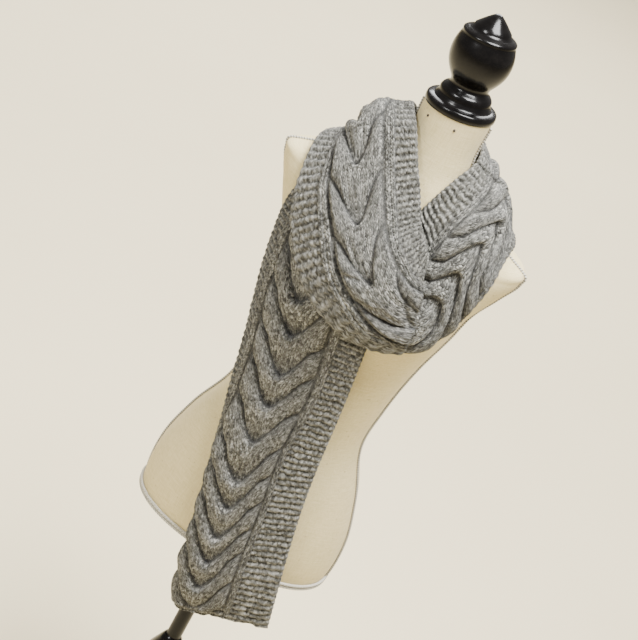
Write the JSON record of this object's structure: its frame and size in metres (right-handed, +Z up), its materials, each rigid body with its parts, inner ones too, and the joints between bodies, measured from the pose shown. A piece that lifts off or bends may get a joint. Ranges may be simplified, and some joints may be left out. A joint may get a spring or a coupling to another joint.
{
  "type": "knit scarf on a dress form",
  "caption": "Chunky cable-knit scarf wound once round the neck of a limbless dress form, on a pole and tripod stand with a turned finial.",
  "frame": {"origin": "middle of the object's footprint, on the floor under the three feet", "axes": "+Z up, the form faces -Y, +X is towards the wearer's left"},
  "size_m": [0.5422, 0.475, 1.491],
  "materials": {
    "heather_knit": "chunky marled wool-blend knit, fuzzy and matt",
    "canvas": "natural unbleached canvas with a plain weave, matt",
    "trim": "off-white braid and whip-stitched piping, matt",
    "black_wood": "turned wood in black satin-gloss paint",
    "black_metal": "black satin paint"
  },
  "bodies": {
    "root": {"front_tail": "heather_knit", "nape_wrap": "heather_knit", "chest_left": "heather_knit", "chest_right": "heather_knit", "back_tail": "heather_knit", "torso": "canvas", "hem_braid": "trim", "side_piping_left": "trim", "side_piping_right": "trim", "finial": "black_wood", "hub": "black_wood", "pole": "black_metal", "leg_1": "black_wood", "leg_2": "black_wood", "leg_3": "black_wood", "foot_1": "black_wood", "foot_2": "black_wood", "foot_3": "black_wood"}
  },
  "joints": []
}
